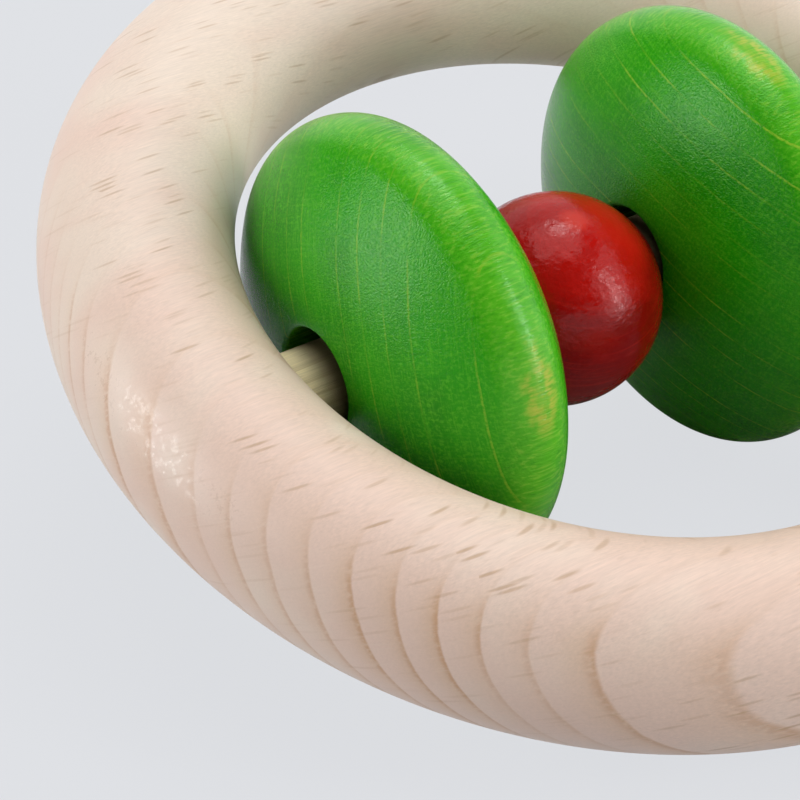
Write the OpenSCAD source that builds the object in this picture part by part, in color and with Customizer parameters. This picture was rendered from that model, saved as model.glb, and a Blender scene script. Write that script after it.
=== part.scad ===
// Ring rattle for a baby: a round wooden ring with a dowel across its middle,
// and a disc, a ball and a second disc that slide and turn loosely on the dowel.
// It lies as it does on a table: the discs stand on the surface, and the ring
// leans round the dowel until its front edge touches the surface too.
// Millimetres. X runs along the dowel, Z is up, and the surface is at Z = 0.

/* [Ring] */
// Diameter of the circle that the middle of the ring's section follows
ring_center_d = 87; // [82:0.5:100]
// Diameter of the ring's round section
ring_section_d = 18; // [14:0.5:20]

/* [Dowel] */
// Diameter of the dowel that carries the beads
dowel_d = 8; // [6:0.25:9]
// Depth of the closed hole in the ring's left side, from the ring's inner wall
socket_depth = 10; // [6:0.5:13]
// Bevel round the dowel's hidden end
dowel_bevel = 0.5; // [0.2:0.1:1]
// Room between the dowel and its holes in the ring, on the radius and at the closed end
glue_gap = 0.05; // [0.02:0.01:0.1]

/* [Beads] */
// Room of the dowel in the bores of the discs and the ball, on the diameter
bore_play = 1.6; // [1:0.1:2.5]
// Least distance between a bead's bore and the dowel, where the bead rests on it
bore_rest_gap = 0.1; // [0.05:0.05:0.3]
// Angle that the dowel has rolled up from the bottom of the discs' bores, to the front, in degrees
dowel_roll = 26; // [10:1:30]

/* [Discs] */
// Outer diameter of a disc
disc_d = 43.2; // [38:0.1:46]
// Thickness of a disc round its bore
disc_hub_t = 17.8; // [14:0.1:20]
// Radius of the disc's rounded rim
disc_rim_r = 4.8; // [4:0.1:6]
// Rounding of the bore's mouths in a disc
disc_mouth_r = 0.5; // [0.3:0.1:1.5]

/* [Ball] */
// Diameter of the ball
ball_d = 20; // [17:0.5:24]
// Bevel round the bore's mouths in the ball
ball_bevel = 0.6; // [0.3:0.1:1]

/* [Bead places] */
// Distance that the left disc can still slide before it meets the ring
left_disc_play = 0.9; // [0.4:0.05:3]
// Gap between the left disc and the ball, from hub to hub
left_ball_gap = 0.45; // [0.3:0.05:3]
// Gap between the ball and the right disc, from hub to hub
right_ball_gap = 0.5; // [0.3:0.05:3]

/* [Hidden] */
$fn = 96;
// Extra length of a cut past the wall that it goes through
overcut = 2;

ring_r = ring_center_d / 2;
section_r = ring_section_d / 2;
ring_inner_r = ring_r - section_r;
dowel_r = dowel_d / 2;
bore_r = (dowel_d + bore_play) / 2;
disc_r = disc_d / 2;
ball_r = ball_d / 2;

// The dowel lies low in the discs' bores, and the ball hangs on it by its bore. As the ring leaned over,
// the dowel rolled a little to the front, so the ring's front edge bears on the surface.
bead_offset = bore_r - dowel_r - bore_rest_gap;
disc_y = bead_offset * sin(dowel_roll);
disc_z = disc_r;
disc_rise = bead_offset * cos(dowel_roll);
dowel_z = disc_z - disc_rise;
ball_z = dowel_z - bead_offset;
// The ring turns round the dowel until its front edge comes down to the surface
ring_lean = asin((dowel_z - section_r) / ring_r);

// A disc's face is one arc: flat where the bore's mouth is rounded, and in line with the rim's arc
// further out
hub_h = disc_hub_t / 2;
face_start_r = bore_r + disc_mouth_r;
rim_center_r = disc_r - disc_rim_r;
face_reach = rim_center_r - face_start_r;
face_r = (face_reach ^ 2 + hub_h ^ 2 - disc_rim_r ^ 2) / (2 * (hub_h - disc_rim_r));
face_center = [face_start_r, hub_h - face_r];
// Distance from the disc's axis at which the rim's arc gives way to the face's arc
face_end_r = rim_center_r + disc_rim_r * face_reach / (face_r - disc_rim_r);

// Half of the ball's length, up to the outer edge of a bevelled mouth
ball_end_h = sqrt(ball_r ^ 2 - (bore_r + ball_bevel) ^ 2);

// A disc stops where the sides of its rim meet the ring's inner wall
rim_side = rim_center_r + disc_y * cos(ring_lean) + disc_rise * sin(ring_lean);
disc_stop_x = sqrt((ring_inner_r - disc_rim_r) ^ 2 - rim_side ^ 2);
left_disc_x = left_disc_play - disc_stop_x;
ball_x = left_disc_x + hub_h + left_ball_gap + ball_end_h;
right_disc_x = ball_x + ball_end_h + right_ball_gap + hub_h;

// The ring before its two holes are drilled
module ring_blank() {
    rotate_extrude() translate([ring_r, 0]) circle(section_r);
}

// A round bar or hole along X
module along_x(x_from, x_to, r) {
    translate([x_from, 0, 0]) rotate([0, 90, 0]) cylinder(h = x_to - x_from, r = r);
}

// The place and lean of the ring and its dowel
module leaning() {
    translate([0, 0, dowel_z]) rotate([ring_lean, 0, 0]) children();
}

// Turns an outline, drawn beside the Y axis, round X
module turned() {
    rotate([0, 90, 0]) rotate_extrude() children();
}

// A disc's outline from its middle plane to one face
module half_disc_outline() {
    translate([bore_r, 0]) square([disc_mouth_r, hub_h - disc_mouth_r]);
    // rounded mouth of the bore
    translate([face_start_r, hub_h - disc_mouth_r]) intersection() {
        circle(disc_mouth_r);
        translate([-disc_mouth_r, 0]) square(disc_mouth_r);
    }
    // face
    intersection() {
        translate(face_center) circle(face_r);
        translate([face_start_r, 0]) square([face_end_r - face_start_r, hub_h]);
    }
    // rim
    translate([rim_center_r, 0]) intersection() {
        circle(disc_rim_r);
        square(disc_rim_r);
    }
}

module disc() {
    turned() for (side = [0, 1]) mirror([0, side]) half_disc_outline();
}

// The edge that is bevelled off at a mouth of the ball's bore
module ball_mouth_edge() {
    inner_r = bore_r - overcut;
    outer_r = bore_r + ball_bevel + overcut;
    top = ball_end_h + overcut;
    polygon([[inner_r, top], [outer_r, top], [inner_r, top + inner_r - outer_r]]);
}

module ball_outline() {
    difference() {
        intersection() {
            circle(ball_r);
            translate([bore_r, -ball_r]) square([ball_r, ball_d]);
        }
        for (side = [0, 1]) mirror([0, side]) ball_mouth_edge();
    }
}

module grip_ring() {
    hole_r = dowel_r + glue_gap;
    color("bisque") leaning() difference() {
        ring_blank();
        // closed hole on the left
        along_x(-ring_inner_r - socket_depth, overcut - ring_inner_r, hole_r);
        // hole right through on the right, where the dowel goes in
        along_x(ring_inner_r - overcut, ring_r + section_r + overcut, hole_r);
    }
}

module axle_dowel() {
    hidden_end_x = glue_gap - ring_inner_r - socket_depth;
    color("burlywood") leaning() {
        translate([hidden_end_x, 0, 0]) rotate([0, 90, 0])
            cylinder(h = dowel_bevel, r1 = dowel_r - dowel_bevel, r2 = dowel_r);
        along_x(hidden_end_x + dowel_bevel, ring_r, dowel_r);
        // the other end is sanded flush with the outside of the ring
        intersection() {
            along_x(ring_r, ring_r + section_r + overcut, dowel_r);
            ring_blank();
        }
    }
}

module left_disc() {
    color("forestgreen") translate([left_disc_x, disc_y, disc_z]) disc();
}

module middle_ball() {
    color("firebrick") translate([ball_x, 0, ball_z]) turned() ball_outline();
}

module right_disc() {
    color("forestgreen") translate([right_disc_x, disc_y, disc_z]) disc();
}

grip_ring();
axle_dowel();
left_disc();
middle_ball();
right_disc();
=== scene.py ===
"""Ring rattle: the visible pieces, their wood finishes, the studio and the camera.

Metres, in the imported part's frame: X runs along the dowel, Z is up, and the floor is at Z = 0.
Sizes below are in millimetres, as in the part's source, and MM turns them into metres.
"""

import math
from collections import namedtuple
from functools import reduce

import bmesh
import bpy
from mathutils import Matrix, Vector


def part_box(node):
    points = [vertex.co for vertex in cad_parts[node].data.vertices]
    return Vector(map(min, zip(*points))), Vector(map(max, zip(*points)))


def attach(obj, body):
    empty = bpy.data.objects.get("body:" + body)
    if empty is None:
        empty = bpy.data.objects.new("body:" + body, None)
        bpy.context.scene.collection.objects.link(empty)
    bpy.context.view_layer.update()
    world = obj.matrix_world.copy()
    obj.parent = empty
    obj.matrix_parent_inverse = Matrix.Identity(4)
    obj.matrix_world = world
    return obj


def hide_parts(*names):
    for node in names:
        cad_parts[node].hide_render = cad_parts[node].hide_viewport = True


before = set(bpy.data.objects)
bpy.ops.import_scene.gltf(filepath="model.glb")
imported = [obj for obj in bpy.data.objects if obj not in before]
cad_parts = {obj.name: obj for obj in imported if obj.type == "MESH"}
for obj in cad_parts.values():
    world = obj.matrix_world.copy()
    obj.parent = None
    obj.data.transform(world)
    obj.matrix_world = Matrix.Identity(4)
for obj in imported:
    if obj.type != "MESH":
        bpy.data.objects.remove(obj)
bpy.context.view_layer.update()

MM = 0.001

# Sizes of the part
RING_R = 43.5
SECTION_R = 9.0
RING_INNER_R = RING_R - SECTION_R
RING_OUTER_R = RING_R + SECTION_R
DOWEL_R = 4.0
DOWEL_BEVEL = 0.5
SOCKET_DEPTH = 10.0
GLUE_GAP = 0.05
BORE_R = 4.8
BEAD_OFFSET = 0.7
DOWEL_ROLL = math.radians(26)
DISC_R = 21.6
DISC_HUB_H = 8.9
DISC_RIM_R = 4.8
DISC_MOUTH_R = 0.5
BALL_R = 10.0
BALL_BEVEL = 0.6

# Places of the pieces
DISC_Y = BEAD_OFFSET * math.sin(DOWEL_ROLL)
DISC_Z = DISC_R
DOWEL_Z = DISC_Z - BEAD_OFFSET * math.cos(DOWEL_ROLL)
BALL_Z = DOWEL_Z - BEAD_OFFSET
RING_LEAN = math.asin((DOWEL_Z - SECTION_R) / RING_R)

# Fineness of the meshes
BEAD_SEGMENTS = 224
RING_SEGMENTS = 360
SECTION_SEGMENTS = 112
DOWEL_SEGMENTS = 96
MOUTH_STEPS, FACE_STEPS, RIM_STEPS = 8, 22, 20
BALL_STEPS = 60
# Rows of points along a disc's bore and along the dowel, and on the dowel's two ends as shares of
# the radius
DISC_BORE_ROWS = (-3.5, 0, 3.5)
DOWEL_ROWS = (-30, -20, -10, 0, 10, 20, 30, 40)
HIDDEN_END_SHARES = (0.3, 0.65, 1.0)
FLUSH_END_SHARES = (1.0, 0.97, 0.8, 0.6, 0.4, 0.2)
# How far a cutting bar stands out of the ring, and the angle from which an edge stays sharp
CUT_EXTRA = 2.0
SHARP_ANGLE = math.radians(40)

# Camera, from the ring's outline in the photograph
CAMERA_PLACE = (-141.666, -167.084, 154.927)
CAMERA_AIM = (-27.976, -6.673, 21.6)
CAMERA_ROLL = math.radians(-0.596)
CAMERA_LENS = 122.95
SENSOR = 36.0
CLIP_START = 10.0

# Background of the photograph, as a linear colour
BACKGROUND = (0.737, 0.752, 0.783, 1)

# Sockets of a Mix node that colours use: the share and the two colours, and the result
MIX_INPUTS = (0, 6, 7)
MIX_OUTPUT = 2


class Tree:
    """A material's nodes. A value is a number, a tuple or another node's socket."""

    def __init__(self, name):
        self.material = bpy.data.materials.new(name)
        self.material.use_nodes = True
        self.nodes = self.material.node_tree.nodes
        self.links = self.material.node_tree.links
        self.shader = self.nodes["Principled BSDF"]

    def put(self, socket, value):
        if isinstance(value, bpy.types.NodeSocket):
            self.links.new(value, socket)
        else:
            socket.default_value = value

    def add_node(self, kind, **settings):
        node = self.nodes.new(kind)
        for key, value in settings.items():
            setattr(node, key, value)
        return node

    def math(self, operation, *values):
        node = self.add_node("ShaderNodeMath", operation=operation)
        for socket, value in zip(node.inputs, values):
            self.put(socket, value)
        return node.outputs[0]

    def add(self, *values):
        return reduce(lambda a, b: self.math("ADD", a, b), values)

    def sub(self, a, b):
        return self.math("SUBTRACT", a, b)

    def mul(self, *values):
        return reduce(lambda a, b: self.math("MULTIPLY", a, b), values)

    def dot(self, vector, axis):
        node = self.add_node("ShaderNodeVectorMath", operation="DOT_PRODUCT")
        self.put(node.inputs[0], vector)
        self.put(node.inputs[1], tuple(axis))
        return node.outputs["Value"]

    def place(self):
        """The point on the piece, in its own axes, in millimetres."""
        node = self.add_node("ShaderNodeVectorMath", operation="SCALE")
        self.put(node.inputs[0], self.add_node("ShaderNodeTexCoord").outputs["Object"])
        node.inputs["Scale"].default_value = 1 / MM
        return node.outputs[0]

    def facing(self, way):
        """How far the surface faces a way in the piece's own axes, from -1 to 1."""
        return self.dot(self.add_node("ShaderNodeTexCoord").outputs["Normal"], way)

    def end_grain(self):
        """How far the surface cuts across the fibres, which run along the piece's X."""
        return self.math("ABSOLUTE", self.facing((1, 0, 0)))

    def vector(self, x, y, z):
        node = self.add_node("ShaderNodeCombineXYZ")
        for socket, value in zip(node.inputs, (x, y, z)):
            self.put(socket, value)
        return node.outputs[0]

    def noise(self, vector, detail, roughness):
        node = self.add_node("ShaderNodeTexNoise")
        self.put(node.inputs["Vector"], vector)
        node.inputs["Scale"].default_value = 1
        node.inputs["Detail"].default_value = detail
        node.inputs["Roughness"].default_value = roughness
        return node.outputs[0]

    def cells(self, vector):
        """Distance to the nearest of scattered points, and a random value of that point."""
        node = self.add_node("ShaderNodeTexVoronoi")
        self.put(node.inputs["Vector"], vector)
        node.inputs["Scale"].default_value = 1
        red = self.add_node("ShaderNodeSeparateColor")
        self.put(red.inputs[0], node.outputs["Color"])
        return node.outputs["Distance"], red.outputs[0]

    def random(self, value):
        node = self.add_node("ShaderNodeTexWhiteNoise", noise_dimensions="1D")
        self.put(node.inputs["W"], value)
        return node.outputs["Value"]

    def ramp(self, value, low, high, at_low=0.0, at_high=1.0):
        """A smooth step from low to high."""
        node = self.add_node("ShaderNodeMapRange", interpolation_type="SMOOTHSTEP")
        for socket, number in zip(node.inputs, (value, low, high, at_low, at_high)):
            self.put(socket, number)
        return node.outputs[0]

    def mix(self, share, a, b, blend="MIX"):
        """The colour a with a share of b."""
        node = self.add_node("ShaderNodeMix", data_type="RGBA", blend_type=blend)
        for socket, value in zip(MIX_INPUTS, (share, a, b)):
            self.put(node.inputs[socket], value)
        return node.outputs[MIX_OUTPUT]

    def shade(self, color, value):
        """The colour times a value."""
        return self.mix(1.0, color, self.vector(value, value, value), "MULTIPLY")

    def surface(self, color, roughness, level, height, depth, tint=(1, 1, 1, 1)):
        """Sets the shader: colour, roughness, level and tint of the gloss, and a bump that is
        depth millimetres deep."""
        bump = self.add_node("ShaderNodeBump")
        bump.inputs["Distance"].default_value = depth * MM
        self.put(bump.inputs["Height"], height)
        sockets = self.shader.inputs
        self.put(sockets["Base Color"], color)
        self.put(sockets["Roughness"], roughness)
        self.put(sockets["Normal"], bump.outputs[0])
        sockets["Specular IOR Level"].default_value = level
        sockets["Specular Tint"].default_value = tint
        return self.material


# Where a point lies in the tree, in millimetres: along the fibres, out from the pith, and round it
Wood = namedtuple("Wood", "along radius arc")


def wood_space(n, to_pith, pith_distance, lean=0.0, height=0.0):
    """The place in the tree of a piece whose fibres run along its X. The pith lies at a distance
    from the piece's middle, and the piece leans by lean round X, at a height."""
    point = n.place()
    inward = Matrix.Rotation(lean, 3, "X") @ Vector(to_pith).normalized()
    sideways = Vector((1, 0, 0)).cross(inward)
    out = n.sub(pith_distance + height * inward.z, n.dot(point, inward))
    across = n.sub(n.dot(point, sideways), height * sideways.z)
    radius = n.math("SQRT", n.add(n.mul(out, out), n.mul(across, across)))
    arc = n.mul(n.math("ARCTAN2", across, out), pith_distance)
    return Wood(n.dot(point, (1, 0, 0)), radius, arc)


def in_cells(n, wood, lengths):
    """The place in the tree, measured in lengths along the fibres, outwards and round."""
    return n.vector(*[n.mul(value, 1 / length) for value, length in zip(wood, lengths)])


# The middle of a noise's values, and how finely a noise of fibres is broken up
NOISE_MIDDLE = 0.5
FIBRE_DETAIL, FIBRE_BREAKS = 3, 0.6


def grain(n, wood, lengths, detail=2.0, roughness=0.5):
    """Noise that is stretched to lengths along the fibres, outwards and round."""
    return n.noise(in_cells(n, wood, lengths), detail, roughness)


def fibres(n, wood, lengths):
    """The same noise, more finely broken up."""
    return grain(n, wood, lengths, FIBRE_DETAIL, FIBRE_BREAKS)


def swing(n, noise):
    """A noise, about zero."""
    return n.sub(noise, NOISE_MIDDLE)


# The share of a fleck's reach in which it is darkest
FLECK_CORE = 0.35


def flecks(n, wood, lengths, reach, share):
    """Rays of the wood: thin ribbons, cut into short strokes where they reach the surface."""
    distance, chance = n.cells(in_cells(n, wood, lengths))
    stroke = n.ramp(distance, FLECK_CORE * reach, reach, 1, 0)
    return n.mul(stroke, n.ramp(chance, 0, share, 1, 0))


# In the values of the woods below, three lengths are those of a grain, in millimetres along the
# fibres, outwards and round, and a step is what a ramp takes: low, high, and its values there.

# Colours of the beech
BEECH_LIGHT = (0.80, 0.665, 0.555, 1)
BEECH_PINK = (0.785, 0.585, 0.485, 1)
BEECH_TAN = (0.67, 0.455, 0.30, 1)
BEECH_LINE = (0.55, 0.295, 0.165, 1)
BEECH_FLECK = (0.44, 0.25, 0.11, 1)

# Years of the ring's wood, counted outwards: lines per millimetre, and slow swings of their
# spacing as size, length and start
RING_PITH = (0, 92.1, -97.8)
LINE_RATE = 0.3381
LINE_START = -43.139
LINE_WARPS = ((0.533, 30.87, -0.404), (0.203, 18.21, 0.324))
BEECH_WANDER, BEECH_WANDER_SIZE = (22, 9, 5), 0.18
BEECH_RAGGED, BEECH_RAGGED_SIZE = (2.2, 0.6, 0.35), 0.06

# Strength of the growth lines and of the late wood before them, which both fade towards the
# pith and on the ring's crest
LINE_BY_YEAR = (0.0, 1.0, 0.65, 1.25)
LINE_BY_RADIUS = (112, 136, 0.06, 1.0)
LINE_RISE = (0.76, 0.94)
LINE_FALL = (0.93, 1.0, 1, 0)
LINE_BREAKS = (-0.22, 0.05)
LINE_ON_TOP = (0.45, 0.80, 1, 0.1)
LINE_SHARE = 0.52
LATE_POWER = 2.0
LATE_BY_RADIUS = (118, 150, 0.25, 1.0)
LATE_ON_TOP = (0.50, 0.88, 1, 0.12)
LATE_SHARE = 0.85
UNEVEN, UNEVEN_STEP = (34, 5, 11), (0.3, 0.7, 0.45, 1.1)

# Mottling, rays and fibres
MOTTLE = (16, 9, 9)
ROSY_BY_RADIUS = (126, 150, 0, 0.20)
ROSY_STEP = (0.35, 0.75)
SCRATCHES, SCRATCH_STEP = (8, 3.5, 0.14), (0.58, 0.72)
SCRATCH_ON_END = (0.45, 0.85, 0, 0.15)
RAY_BY_RADIUS = (100, 150, 0.40, 0.58)
RAY_ON_END = (0.30, 0.65, 1, 0.30)
LONG_RAYS, LONG_RAY_REACH = (4.6, 9.0, 0.40), 0.38
RAY_DENSITY, RAY_DENSITY_STEP = (30, 30, 14), (0.35, 0.65, 0.60, 1.1)
SHORT_RAYS, SHORT_RAY_REACH = (2.0, 4.0, 0.26), 0.30
SHORT_RAY_CHANCE, SHORT_RAY_SHARE = 0.45, 0.18
BEECH_FIBRE, FIBRE_SHADE = (5, 0.22, 0.16), 0.30
BEECH_PORES, PORE_SHADE = (0.9, 0.12, 0.12), 0.12
SHADE_ON_END = (0.30, 0.80, 1, 0.45)

# Gloss and bump. The end grain has a worn patch with polished specks, which faces one way.
POLISHED_WAY = (-0.84, -0.18, 0.51)
POLISHED_STEP = (0.955, 0.99, 0, 0.19)
SPECKS, SPECK_STEP = (1.3, 0.55, 0.55), (0.49, 0.62)
BEECH_ROUGHNESS = (0.3, 0.7, 0.37, 0.48)
LONG_GRAIN_ROUGHNESS = (0.25, 0.65, 0.08, 0)
BEECH_LEVEL = 0.55
RAY_HEIGHT = 0.25
HEIGHT_ON_END = (0.30, 0.80, 1, 0.3)
BEECH_DEPTH = 0.012


def beech_years(n, wood):
    """The year that the wood grew in, how much of that year had passed, and its ragged edge."""
    wander = swing(n, grain(n, wood, BEECH_WANDER))
    ragged = swing(n, grain(n, wood, BEECH_RAGGED))
    phase = n.add(n.mul(wood.radius, LINE_RATE), LINE_START)
    for size, length, start in LINE_WARPS:
        turn = n.add(n.mul(wood.radius, 2 * math.pi / length), start)
        phase = n.add(phase, n.mul(n.math("SINE", turn), size))
    bends = n.add(n.mul(wander, BEECH_WANDER_SIZE), n.mul(ragged, BEECH_RAGGED_SIZE))
    phase = n.add(phase, bends)
    return n.math("FLOOR", phase), n.math("FRACT", phase), ragged


def beech_growth(n, wood):
    """Shares of the growth lines and of the late wood."""
    year, part, ragged = beech_years(n, wood)
    above = n.facing((0, 0, 1))
    by_year = n.ramp(n.random(year), *LINE_BY_YEAR)
    strength = n.mul(by_year, n.ramp(wood.radius, *LINE_BY_RADIUS))
    uneven = n.ramp(grain(n, wood, UNEVEN), *UNEVEN_STEP)
    both = n.mul(n.ramp(part, *LINE_FALL), strength, uneven)
    line = n.mul(n.ramp(part, *LINE_RISE), n.ramp(ragged, *LINE_BREAKS), n.ramp(above, *LINE_ON_TOP))
    late = n.mul(n.math("POWER", part, LATE_POWER), n.ramp(wood.radius, *LATE_BY_RADIUS),
                 n.ramp(above, *LATE_ON_TOP))
    return n.mul(both, line, LINE_SHARE), n.mul(both, late, LATE_SHARE)


def beech_color(n, wood, end, fibre, long_rays):
    line, late = beech_growth(n, wood)
    rosy = n.add(grain(n, wood, MOTTLE, detail=3), n.ramp(wood.radius, *ROSY_BY_RADIUS))
    color = n.mix(n.ramp(rosy, *ROSY_STEP), BEECH_LIGHT, BEECH_PINK)
    color = n.mix(late, color, BEECH_TAN)
    color = n.mix(line, color, BEECH_LINE)
    scratches = n.ramp(grain(n, wood, SCRATCHES, detail=1), *SCRATCH_STEP)
    color = n.mix(n.mul(scratches, n.ramp(end, *SCRATCH_ON_END)), color, BEECH_LIGHT)
    marked = n.mul(n.ramp(wood.radius, *RAY_BY_RADIUS), n.ramp(end, *RAY_ON_END))
    short_rays = flecks(n, wood, SHORT_RAYS, SHORT_RAY_REACH, SHORT_RAY_CHANCE)
    color = n.mix(n.mul(short_rays, marked, SHORT_RAY_SHARE), color, BEECH_FLECK)
    color = n.mix(n.mul(long_rays, marked), color, BEECH_FLECK)
    pores = grain(n, wood, BEECH_PORES, detail=1)
    grainy = n.add(n.mul(swing(n, fibre), FIBRE_SHADE), n.mul(swing(n, pores), PORE_SHADE))
    return n.shade(color, n.add(n.mul(grainy, n.ramp(end, *SHADE_ON_END)), 1.0))


def beech():
    n = Tree("natural_beech")
    wood = wood_space(n, RING_PITH, Vector(RING_PITH).length, RING_LEAN, DOWEL_Z)
    end = n.end_grain()
    fibre = fibres(n, wood, BEECH_FIBRE)
    density = n.ramp(grain(n, wood, RAY_DENSITY, detail=1), *RAY_DENSITY_STEP)
    long_rays = flecks(n, wood, LONG_RAYS, LONG_RAY_REACH, density)
    specks = n.ramp(fibres(n, wood, SPECKS), *SPECK_STEP)
    polished = n.mul(specks, n.ramp(n.facing(POLISHED_WAY), *POLISHED_STEP))
    dull = n.add(n.ramp(fibre, *BEECH_ROUGHNESS), n.ramp(end, *LONG_GRAIN_ROUGHNESS))
    height = n.mul(n.sub(fibre, n.mul(long_rays, RAY_HEIGHT)), n.ramp(end, *HEIGHT_ON_END))
    color = beech_color(n, wood, end, fibre, long_rays)
    return n.surface(color, n.sub(dull, polished), BEECH_LEVEL, height, BEECH_DEPTH)


# The dowel's bare wood, with painted shade where it meets the beads' mouths
DOWEL_LIGHT = (0.90, 0.75, 0.47, 1)
DOWEL_DARK = (0.46, 0.33, 0.18, 1)
# Colour of the painted shade at the beads' mouths
DOWEL_PAINTED_SHADE = (0.07, 0.055, 0.02, 1)
DOWEL_TO_PITH, DOWEL_PITH = (0, 0.6, 0.8), 24.0
DOWEL_LINE_RATE = 0.8
DOWEL_LATE_POWER, DOWEL_LATE_SHARE = 2.0, 0.45
DOWEL_FIBRE, DOWEL_FIBRE_DETAIL, DOWEL_FIBRE_BREAKS = (6, 0.16, 0.16), 4, 0.65
# The least shade of the colour, and how much the fibres add to it
DOWEL_LEAST_SHADE, DOWEL_FIBRE_SHADE = 0.62, 0.7
DOWEL_PORES, DOWEL_PORE_REACH = (2.4, 0.5, 0.24), 0.34
DOWEL_PORE_CHANCE, DOWEL_PORE_SHARE = 0.55, 0.5
DOWEL_ROUGHNESS = (0.3, 0.7, 0.68, 0.82)
DOWEL_LEVEL = 0.25
DOWEL_DEPTH = 0.05
# Painted shade: dark bands painted where the dowel meets the beads' mouths, in place of the shade
# there: place along the dowel and half width, the share of that width that is darkest, and how dark
# that is
PAINTED_SHADE_BANDS = ((-31.0, 4.0), (-14.1, 4.0), (3.4, 4.0))
PAINTED_SHADE_CORE, PAINTED_SHADE_SHARE = 0.2, 0.95


def raw_dowel():
    n = Tree("raw_dowel")
    wood = wood_space(n, DOWEL_TO_PITH, DOWEL_PITH, RING_LEAN, DOWEL_Z)
    part = n.math("FRACT", n.mul(wood.radius, DOWEL_LINE_RATE))
    fibre = grain(n, wood, DOWEL_FIBRE, DOWEL_FIBRE_DETAIL, DOWEL_FIBRE_BREAKS)
    pores = n.mul(flecks(n, wood, DOWEL_PORES, DOWEL_PORE_REACH, DOWEL_PORE_CHANCE), DOWEL_PORE_SHARE)
    late = n.mul(n.math("POWER", part, DOWEL_LATE_POWER), DOWEL_LATE_SHARE)
    color = n.mix(late, DOWEL_LIGHT, DOWEL_DARK)
    color = n.mix(pores, color, DOWEL_DARK)
    # Painted shade: dark bands where the dowel meets the beads' mouths
    for middle, reach in PAINTED_SHADE_BANDS:
        away = n.math("ABSOLUTE", n.sub(wood.along, middle))
        color = n.mix(n.ramp(away, PAINTED_SHADE_CORE * reach, reach, PAINTED_SHADE_SHARE, 0), color, DOWEL_PAINTED_SHADE)
    color = n.shade(color, n.add(n.mul(fibre, DOWEL_FIBRE_SHADE), DOWEL_LEAST_SHADE))
    roughness = n.ramp(fibre, *DOWEL_ROUGHNESS)
    return n.surface(color, roughness, DOWEL_LEVEL, n.sub(fibre, pores), DOWEL_DEPTH)


# The discs' green stain
GREEN_END = (0.019, 0.315, 0.001, 1)
GREEN_LONG = (0.080, 0.44, 0.012, 1)
GREEN_DEEP = (0.008, 0.22, 0.001, 1)
GREEN_FRESH = (0.130, 0.53, 0.022, 1)
GREEN_YELLOW = (0.32, 0.53, 0.035, 1)
GREEN_STREAK = (0.24, 0.56, 0.045, 1)
GREEN_CROWN = (0.50, 0.49, 0.06, 1)
GREEN_GLOSS = (0.75, 1.0, 0.70, 1)

# Growth of each disc: the way to the pith, lines per millimetre, where they start, how strong they
# are, and the step by which some years lose their line
Growth = namedtuple("Growth", "to_pith rate start share loss")
DISC_GROWTH = {
    "left_disc": Growth((0.0, 0.951, -0.309), 0.40, 0.352, 0.50, (0.10, 0.55)),
    "right_disc": Growth((0.0, 0.259, -0.966), 0.45, 0.271, 0.70, (0.0, 0.45)),
}
DISC_PITH = 80.0
DISC_EDGE = DISC_PITH + DISC_R
GREEN_WANDER, GREEN_WANDER_SIZE = (30, 12, 6), 0.12
GREEN_RAGGED, GREEN_RAGGED_SIZE = (3, 0.5, 0.35), 0.06
GREEN_LINE_RISE = (0.915, 0.965)
GREEN_LINE_BREAKS = (-0.30, 0.10)
# From here out every year keeps its line
GREEN_ALL_LINES = (DISC_PITH + 0.84 * DISC_R, DISC_PITH + 0.88 * DISC_R)
BROKEN, BROKEN_STEP = (60, 2.0, 4.5), (0.38, 0.62, 0.15, 1.0)

# Clouds, rays and fibres, and the streaks that show on the rim
LONG_GRAIN = (0.30, 0.88, 1, 0)
GREEN_CLOUD, GREEN_CLOUD_STEP = (11, 7, 9), (0.40, 0.75, 0, 0.8)
GREEN_FIBRE, GREEN_FIBRE_STEP = (4, 0.28, 0.22), (0.45, 0.72, 0, 0.45)
FINE_RAYS, FINE_RAY_STEP = (4, 3.0, 0.16), (0.5, 0.75, 0, 0.18)
FINE_LINES, FINE_LINE_STEP = (5, 0.16, 3.0), (0.5, 0.75, 0, 0.28)
GREEN_RAYS, GREEN_RAY_REACH = (3.4, 7.0, 0.55), 0.30
GREEN_RAY_CHANCE, GREEN_RAY_SHARE = 0.55, 0.35
STREAK = (9, 0.36, 0.24)
STREAK_LIGHT = (0.48, 0.68, 0, 0.60)
STREAK_DEEP = (0.30, 0.44, 0.35, 0)

# The pale patch on the rim, where the growth rings run along it
CROWN_RADIUS = (DISC_EDGE - 0.50, DISC_EDGE - 0.02)
CROWN_STREAK = (0.36, 0.58, 0.25, 1.0)
BLOTCH, BLOTCH_STEP = (1.6, 4, 1.9), (0.36, 0.58, 0.05, 0.85)

GREEN_PORES = (0.7, 0.14, 0.14)
GREEN_ROUGHNESS = (0.3, 0.7, 0.13, 0.25)
GREEN_LEVEL = 0.32
GREEN_FIBRE_HEIGHT = 0.4
GREEN_DEPTH = 0.05


def green_lines(n, wood, growth):
    """Share of the yellow growth lines."""
    wander = swing(n, grain(n, wood, GREEN_WANDER))
    ragged = swing(n, grain(n, wood, GREEN_RAGGED))
    bends = n.add(n.mul(wander, GREEN_WANDER_SIZE), n.mul(ragged, GREEN_RAGGED_SIZE))
    phase = n.add(n.mul(wood.radius, growth.rate), growth.start, bends)
    chance = n.ramp(n.random(n.math("FLOOR", phase)), *growth.loss)
    kept = n.math("MAXIMUM", chance, n.ramp(wood.radius, *GREEN_ALL_LINES))
    line = n.ramp(n.math("FRACT", phase), *GREEN_LINE_RISE)
    broken = n.ramp(grain(n, wood, BROKEN, detail=3), *BROKEN_STEP)
    return n.mul(line, kept, broken, n.ramp(ragged, *GREEN_LINE_BREAKS), growth.share)


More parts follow.
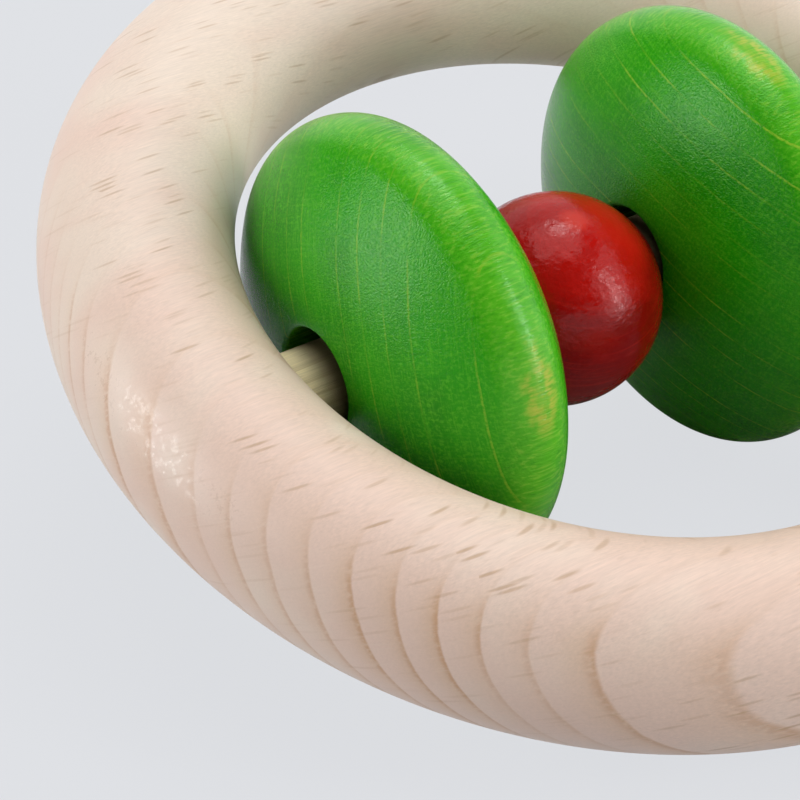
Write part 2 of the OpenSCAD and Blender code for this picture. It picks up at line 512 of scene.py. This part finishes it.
def green_color(n, wood, growth, fibre):
    side = n.ramp(n.end_grain(), *LONG_GRAIN)
    streak = fibres(n, wood, STREAK)
    rays = flecks(n, wood, GREEN_RAYS, GREEN_RAY_REACH, GREEN_RAY_CHANCE)
    color = n.mix(side, GREEN_END, GREEN_LONG)
    color = n.mix(n.ramp(grain(n, wood, GREEN_CLOUD, detail=3), *GREEN_CLOUD_STEP), color, GREEN_DEEP)
    color = n.mix(n.ramp(fibre, *GREEN_FIBRE_STEP), color, GREEN_FRESH)
    color = n.mix(n.ramp(grain(n, wood, FINE_RAYS), *FINE_RAY_STEP), color, GREEN_FRESH)
    color = n.mix(n.ramp(grain(n, wood, FINE_LINES), *FINE_LINE_STEP), color, GREEN_FRESH)
    color = n.mix(n.mul(rays, GREEN_RAY_SHARE), color, GREEN_DEEP)
    color = n.mix(n.mul(n.ramp(streak, *STREAK_LIGHT), side), color, GREEN_STREAK)
    color = n.mix(n.mul(n.ramp(streak, *STREAK_DEEP), side), color, GREEN_DEEP)
    color = n.mix(green_lines(n, wood, growth), color, GREEN_YELLOW)
    crown = n.mul(n.ramp(wood.radius, *CROWN_RADIUS), n.ramp(streak, *CROWN_STREAK))
    blotch = n.ramp(grain(n, wood, BLOTCH, detail=3), *BLOTCH_STEP)
    return n.mix(n.mul(crown, blotch), color, GREEN_CROWN)


def green_stain(name, growth):
    n = Tree(name)
    wood = wood_space(n, growth.to_pith, DISC_PITH)
    fibre = fibres(n, wood, GREEN_FIBRE)
    pores = grain(n, wood, GREEN_PORES, detail=1)
    color = green_color(n, wood, growth, fibre)
    roughness = n.ramp(pores, *GREEN_ROUGHNESS)
    height = n.add(pores, n.mul(fibre, GREEN_FIBRE_HEIGHT))
    return n.surface(color, roughness, GREEN_LEVEL, height, GREEN_DEPTH, GREEN_GLOSS)


# The ball's red lacquer, with painted shade: deeper red painted away from the top, so the sides and
# underside are darker, deeper red clouds at random, and a light crown
RED = (0.50, 0.007, 0.004, 1)
# Deep red, for random clouds and for the painted shade away from the top
RED_DEEP_AND_SHADE = (0.21, 0.001, 0.001, 1)
RED_WARM = (0.56, 0.014, 0.008, 1)
RED_CROWN = (0.80, 0.060, 0.035, 1)
RED_GLOSS = (1.0, 0.75, 0.75, 1)
BALL_TO_PITH, BALL_PITH = (0, 0.25, -0.968), 40.0
BALL_EDGE = BALL_PITH + BALL_R
# Painted shade: the deep red fades out only near the top of the ball
PAINTED_SHADE_BY_RADIUS = (BALL_EDGE - 4.5, BALL_EDGE - 0.6, 0.85, 0)
RED_CLOUD, RED_CLOUD_STEP = (6, 4, 4), (0.3, 0.7, -0.15, 0.25)
RED_LAYERS, RED_LAYER_STEP = (16, 0.35, 9), (0.54, 0.70, 0, 0.25)
RED_FIBRE, RED_FIBRE_STEP = (4, 0.3, 0.25), (0.5, 0.75, 0, 0.18)
RED_CROWN_STEP = (BALL_EDGE - 0.14, BALL_EDGE + 0.01, 0, 0.5)
RED_SPECKS, RED_SPECK_STEP = (0.7, 0.45, 0.45), (0.50, 0.62)
RED_ROUGHNESS = (0, 1, 0.26, 0.11)
RED_LEVEL = 0.30
RED_PEEL = (0.9, 0.6, 0.6)
RED_FIBRE_HEIGHT = 0.06
RED_DEPTH = 0.075


def red_lacquer():
    n = Tree("red_lacquer")
    wood = wood_space(n, BALL_TO_PITH, BALL_PITH)
    fibre = fibres(n, wood, RED_FIBRE)
    cloud = n.ramp(grain(n, wood, RED_CLOUD), *RED_CLOUD_STEP)
    # Painted shade, darker away from the top, plus random clouds of deeper red
    shade_and_cloud = n.add(n.ramp(wood.radius, *PAINTED_SHADE_BY_RADIUS), cloud)
    color = n.mix(n.math("MAXIMUM", shade_and_cloud, 0.0), RED, RED_DEEP_AND_SHADE)
    color = n.mix(n.ramp(grain(n, wood, RED_LAYERS), *RED_LAYER_STEP), color, RED_WARM)
    color = n.mix(n.ramp(fibre, *RED_FIBRE_STEP), color, RED_WARM)
    color = n.mix(n.ramp(wood.radius, *RED_CROWN_STEP), color, RED_CROWN)
    specks = n.ramp(grain(n, wood, RED_SPECKS), *RED_SPECK_STEP)
    roughness = n.ramp(specks, *RED_ROUGHNESS)
    height = n.add(grain(n, wood, RED_PEEL), n.mul(fibre, RED_FIBRE_HEIGHT))
    return n.surface(color, roughness, RED_LEVEL, height, RED_DEPTH, RED_GLOSS)


def arc_points(center, radius, start, end, steps):
    """Points on an arc, angles in degrees, both ends included."""
    angles = [math.radians(start + (end - start) * i / steps) for i in range(steps + 1)]
    return [(center[0] + radius * math.cos(a), center[1] + radius * math.sin(a)) for a in angles]


def smooth(mesh):
    mesh.polygons.foreach_set("use_smooth", [True] * len(mesh.polygons))
    mesh.set_sharp_from_angle(angle=SHARP_ANGLE)


def as_mesh(bm, name):
    mesh = bpy.data.meshes.new(name)
    bm.to_mesh(mesh)
    bm.free()
    return mesh


def turned(name, outline):
    """A bead: a closed outline of (radius, place along X), turned round X. Millimetres."""
    bm = bmesh.new()
    rows = []
    for i in range(BEAD_SEGMENTS):
        turn = 2 * math.pi * i / BEAD_SEGMENTS
        y, z = math.cos(turn) * MM, math.sin(turn) * MM
        rows.append([bm.verts.new((x * MM, r * y, r * z)) for r, x in outline])
    count = len(outline)
    for i in range(BEAD_SEGMENTS):
        a, b = rows[i], rows[(i + 1) % BEAD_SEGMENTS]
        for k in range(count):
            m = (k + 1) % count
            bm.faces.new((a[k], a[m], b[m], b[k]))
    bmesh.ops.recalc_face_normals(bm, faces=bm.faces)
    mesh = as_mesh(bm, name)
    smooth(mesh)
    return mesh


def disc_outline():
    """Mouth, crowned face and round rim of a disc, mirrored, and its bore."""
    face_start = BORE_R + DISC_MOUTH_R
    rim_center = DISC_R - DISC_RIM_R
    reach = rim_center - face_start
    rise = DISC_HUB_H - DISC_RIM_R
    face_r = (reach ** 2 + DISC_HUB_H ** 2 - DISC_RIM_R ** 2) / (2 * rise)
    face_center = (face_start, DISC_HUB_H - face_r)
    join = math.degrees(math.atan2(-face_center[1], reach))
    mouth_center = (face_start, DISC_HUB_H - DISC_MOUTH_R)
    mouth = arc_points(mouth_center, DISC_MOUTH_R, 180, 90, MOUTH_STEPS)
    face = arc_points(face_center, face_r, 90, join, FACE_STEPS)
    rim = arc_points((rim_center, 0), DISC_RIM_R, join, 0, RIM_STEPS)
    half = mouth + face[1:] + rim[1:]
    mirrored = [(r, -x) for r, x in reversed(half[:-1])]
    return half + mirrored + [(BORE_R, x) for x in DISC_BORE_ROWS]


def ball_outline():
    """The ball's round side, and its bore with bevelled mouths."""
    mouth_r = BORE_R + BALL_BEVEL
    end_h = math.sqrt(BALL_R ** 2 - mouth_r ** 2)
    edge = math.degrees(math.atan2(end_h, mouth_r))
    body = arc_points((0, 0), BALL_R, edge, -edge, BALL_STEPS)
    bore_h = end_h - BALL_BEVEL
    return body + [(BORE_R, x) for x in (-bore_h, -bore_h / 2, bore_h / 2, bore_h)]


def torus_x(y, z):
    """Outer side of the ring over a point of the YZ plane, in the ring's own axes."""
    return math.sqrt((RING_R + math.sqrt(SECTION_R ** 2 - z ** 2)) ** 2 - y ** 2)


def ring_mesh(name):
    """The ring without its holes, flat, round Z."""
    bm = bmesh.new()
    rows = []
    for i in range(RING_SEGMENTS):
        turn = 2 * math.pi * i / RING_SEGMENTS
        row = []
        for k in range(SECTION_SEGMENTS):
            a = 2 * math.pi * k / SECTION_SEGMENTS
            r = RING_R + SECTION_R * math.cos(a)
            row.append(bm.verts.new((r * math.cos(turn) * MM, r * math.sin(turn) * MM,
                                     SECTION_R * math.sin(a) * MM)))
        rows.append(row)
    for i in range(RING_SEGMENTS):
        a, b = rows[i], rows[(i + 1) % RING_SEGMENTS]
        for k in range(SECTION_SEGMENTS):
            m = (k + 1) % SECTION_SEGMENTS
            bm.faces.new((a[k], b[k], b[m], a[m]))
    bmesh.ops.recalc_face_normals(bm, faces=bm.faces)
    return as_mesh(bm, name)


def bar_mesh(name, x_from, x_to, radius):
    """A closed round bar along X, for cutting a hole."""
    bm = bmesh.new()
    bmesh.ops.create_cone(bm, cap_ends=True, segments=DOWEL_SEGMENTS, radius1=radius * MM,
                          radius2=radius * MM, depth=(x_to - x_from) * MM)
    middle = Matrix.Translation(((x_from + x_to) / 2 * MM, 0, 0))
    bmesh.ops.transform(bm, matrix=middle @ Matrix.Rotation(math.pi / 2, 4, "Y"), verts=bm.verts)
    return as_mesh(bm, name)


def dowel_row(bm, radius, x=None):
    """A circle of points round X, at x or, without x, on the outside of the ring."""
    points = []
    for i in range(DOWEL_SEGMENTS):
        a = 2 * math.pi * i / DOWEL_SEGMENTS
        y, z = radius * math.cos(a), radius * math.sin(a)
        points.append(bm.verts.new(((torus_x(y, z) if x is None else x) * MM, y * MM, z * MM)))
    return points


def dowel_mesh(name):
    """The dowel: a bevelled hidden end, and an end that follows the outside of the ring."""
    start = GLUE_GAP - RING_INNER_R - SOCKET_DEPTH
    bm = bmesh.new()
    rows = [dowel_row(bm, (DOWEL_R - DOWEL_BEVEL) * share, start) for share in HIDDEN_END_SHARES]
    rows.append(dowel_row(bm, DOWEL_R, start + DOWEL_BEVEL))
    rows.extend(dowel_row(bm, DOWEL_R, x) for x in DOWEL_ROWS)
    rows.extend(dowel_row(bm, DOWEL_R * share) for share in FLUSH_END_SHARES)
    for a, b in zip(rows, rows[1:]):
        for i in range(DOWEL_SEGMENTS):
            m = (i + 1) % DOWEL_SEGMENTS
            bm.faces.new((a[i], a[m], b[m], b[i]))
    for points in (rows[0], rows[-1]):
        bm.faces.new(points)
    bmesh.ops.recalc_face_normals(bm, faces=bm.faces)
    mesh = as_mesh(bm, name)
    smooth(mesh)
    return mesh


def add_object(name, data, place):
    obj = bpy.data.objects.new(name, data)
    bpy.context.scene.collection.objects.link(obj)
    obj.matrix_world = place
    return obj


def cut(obj, meshes):
    """Takes the solids in meshes, which are in obj's own axes, out of obj."""
    for mesh in meshes:
        tool = add_object(mesh.name, mesh, obj.matrix_world)
        modifier = obj.modifiers.new("hole", "BOOLEAN")
        modifier.operation = "DIFFERENCE"
        modifier.solver = "EXACT"
        modifier.object = tool
        bpy.context.view_layer.update()
        evaluated = obj.evaluated_get(bpy.context.evaluated_depsgraph_get())
        result = bpy.data.meshes.new_from_object(evaluated)
        obj.modifiers.clear()
        obj.data = result
        bpy.data.objects.remove(tool)


def piece(obj, node, body, material):
    """Makes obj stand for a CAD node."""
    obj.data.materials.clear()
    obj.data.materials.append(material)
    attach(obj, body)
    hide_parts(node)


def build_ring():
    """The ring and the dowel in it. Their lean is in their meshes."""
    leaning = Matrix.Translation((0, 0, DOWEL_Z * MM)) @ Matrix.Rotation(RING_LEAN, 4, "X")
    still = Matrix.Identity(4)
    hole_r = DOWEL_R + GLUE_GAP
    ring = add_object("ring_wood", ring_mesh("ring_wood"), still)
    cut(ring, [
        bar_mesh("left_hole", -RING_INNER_R - SOCKET_DEPTH, CUT_EXTRA - RING_INNER_R, hole_r),
        bar_mesh("right_hole", RING_INNER_R - CUT_EXTRA, RING_OUTER_R + CUT_EXTRA, hole_r),
    ])
    ring.data.transform(leaning)
    smooth(ring.data)
    piece(ring, "grip_ring", "ring", beech())
    dowel = add_object("dowel_wood", dowel_mesh("dowel_wood"), still)
    dowel.data.transform(leaning)
    piece(dowel, "axle_dowel", "ring", raw_dowel())


def middle_x(node):
    """The middle of a CAD node along the dowel, in metres."""
    low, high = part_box(node)
    return (low.x + high.x) / 2


def build_beads():
    for node, growth in DISC_GROWTH.items():
        place = Matrix.Translation((middle_x(node), DISC_Y * MM, DISC_Z * MM))
        disc = add_object(node + "_wood", turned(node + "_wood", disc_outline()), place)
        piece(disc, node, node, green_stain(node + "_stain", growth))
    place = Matrix.Translation((middle_x("middle_ball"), 0, BALL_Z * MM))
    ball = add_object("ball_wood", turned("ball_wood", ball_outline()), place)
    piece(ball, "middle_ball", "ball", red_lacquer())


# The floor, with its size in metres
FLOOR_SIZE = 40.0
FLOOR_PAINT = (0.42, 0.425, 0.44, 1)
SHADOW_SHARE = 0.12
# Distances from the ring's middle between which a reflection goes from the shaded floor
# to the background
SHADE_REACH = (34, 46)
PLAIN_STRENGTH = 1.06


def floor_material():
    """Seen directly, and in reflections outside the ring, nearly the plain background with a soft
    shadow. Otherwise a pale paint."""
    n = Tree("pale_floor")
    n.nodes.remove(n.shader)
    path = n.add_node("ShaderNodeLightPath").outputs
    point = n.place()
    x, y = n.dot(point, (1, 0, 0)), n.dot(point, (0, 1, 0))
    away = n.ramp(n.math("SQRT", n.add(n.mul(x, x), n.mul(y, y))), *SHADE_REACH)
    mirrored = n.math("MAXIMUM", path["Is Glossy Ray"], path["Is Transmission Ray"])
    seen = n.math("MAXIMUM", path["Is Camera Ray"], n.mul(mirrored, away))
    lit = n.add_node("ShaderNodeBsdfDiffuse")
    lit.inputs["Color"].default_value = FLOOR_PAINT
    plain = n.add_node("ShaderNodeEmission")
    plain.inputs["Color"].default_value = BACKGROUND
    plain.inputs["Strength"].default_value = PLAIN_STRENGTH
    both = n.add_node("ShaderNodeMixShader")
    n.put(both.inputs[0], n.mul(seen, 1 - SHADOW_SHARE))
    n.put(both.inputs[1], lit.outputs[0])
    n.put(both.inputs[2], plain.outputs[0])
    n.put(n.nodes["Material Output"].inputs["Surface"], both.outputs[0])
    return n.material


def build_floor():
    half = FLOOR_SIZE / 2
    corners = [(-half, -half, 0), (half, -half, 0), (half, half, 0), (-half, half, 0)]
    mesh = bpy.data.meshes.new("floor")
    mesh.from_pydata(corners, [], [(0, 1, 2, 3)])
    mesh.materials.append(floor_material())
    add_object("floor", mesh, Matrix.Identity(4))


# Lamps round the object, in metres: azimuth from +X towards +Y and elevation in degrees, width and
# height, and brightness as a colour's value
LAMPS = {
    "left": (156, 17, (0.24, 0.46), 6.0),
    "left_strip": (187, 20, (0.10, 0.28), 3.0),
    "right": (320, 22, (0.76, 0.66), 1.5),
    "right_strip": (304, 22, (0.08, 0.42), 8.0),
    "front": (270, 7, (1.00, 0.20), 1.0),
    "top": (60, 82, (0.50, 0.50), 2.0),
    "top_spot": (45, 68, (0.18, 0.13), 7.0),
    "back": (50, 22, (1.30, 0.80), 0.85),
}
LAMP_TARGET = Vector((0, 0, 0.02))
LAMP_DISTANCE = 0.60
WORLD_COLOR = (0.92, 0.95, 1.0, 1)
WORLD_STRENGTH = 0.05


def soft_box(name, azimuth, elevation, size, radiance):
    """A rectangular lamp that faces the object."""
    a, e = math.radians(azimuth), math.radians(elevation)
    way = Vector((math.cos(e) * math.cos(a), math.cos(e) * math.sin(a), math.sin(e)))
    lamp = bpy.data.lights.new(name, "AREA")
    lamp.shape = "RECTANGLE"
    lamp.size, lamp.size_y = size
    lamp.energy = radiance * math.pi * lamp.size * lamp.size_y
    turn = way.to_track_quat("Z", "Y").to_matrix().to_4x4()
    add_object(name, lamp, Matrix.Translation(LAMP_TARGET + way * LAMP_DISTANCE) @ turn)


def build_light():
    for name, values in LAMPS.items():
        soft_box(name, *values)
    world = bpy.data.worlds.new("studio")
    world.use_nodes = True
    back = world.node_tree.nodes["Background"]
    back.inputs["Color"].default_value = WORLD_COLOR
    back.inputs["Strength"].default_value = WORLD_STRENGTH
    bpy.context.scene.world = world


def build_camera():
    data = bpy.data.cameras.new("photo_view")
    data.lens = CAMERA_LENS
    data.sensor_width = SENSOR
    data.clip_start = CLIP_START * MM
    place, aim = Vector(CAMERA_PLACE) * MM, Vector(CAMERA_AIM) * MM
    look = (aim - place).to_track_quat("-Z", "Y").to_matrix().to_4x4()
    roll = Matrix.Rotation(CAMERA_ROLL, 4, "Z")
    bpy.context.scene.camera = add_object("photo_view", data, Matrix.Translation(place) @ look @ roll)


build_camera()
build_ring()
build_beads()
build_floor()
build_light()
bpy.context.scene.view_settings.view_transform = "Standard"
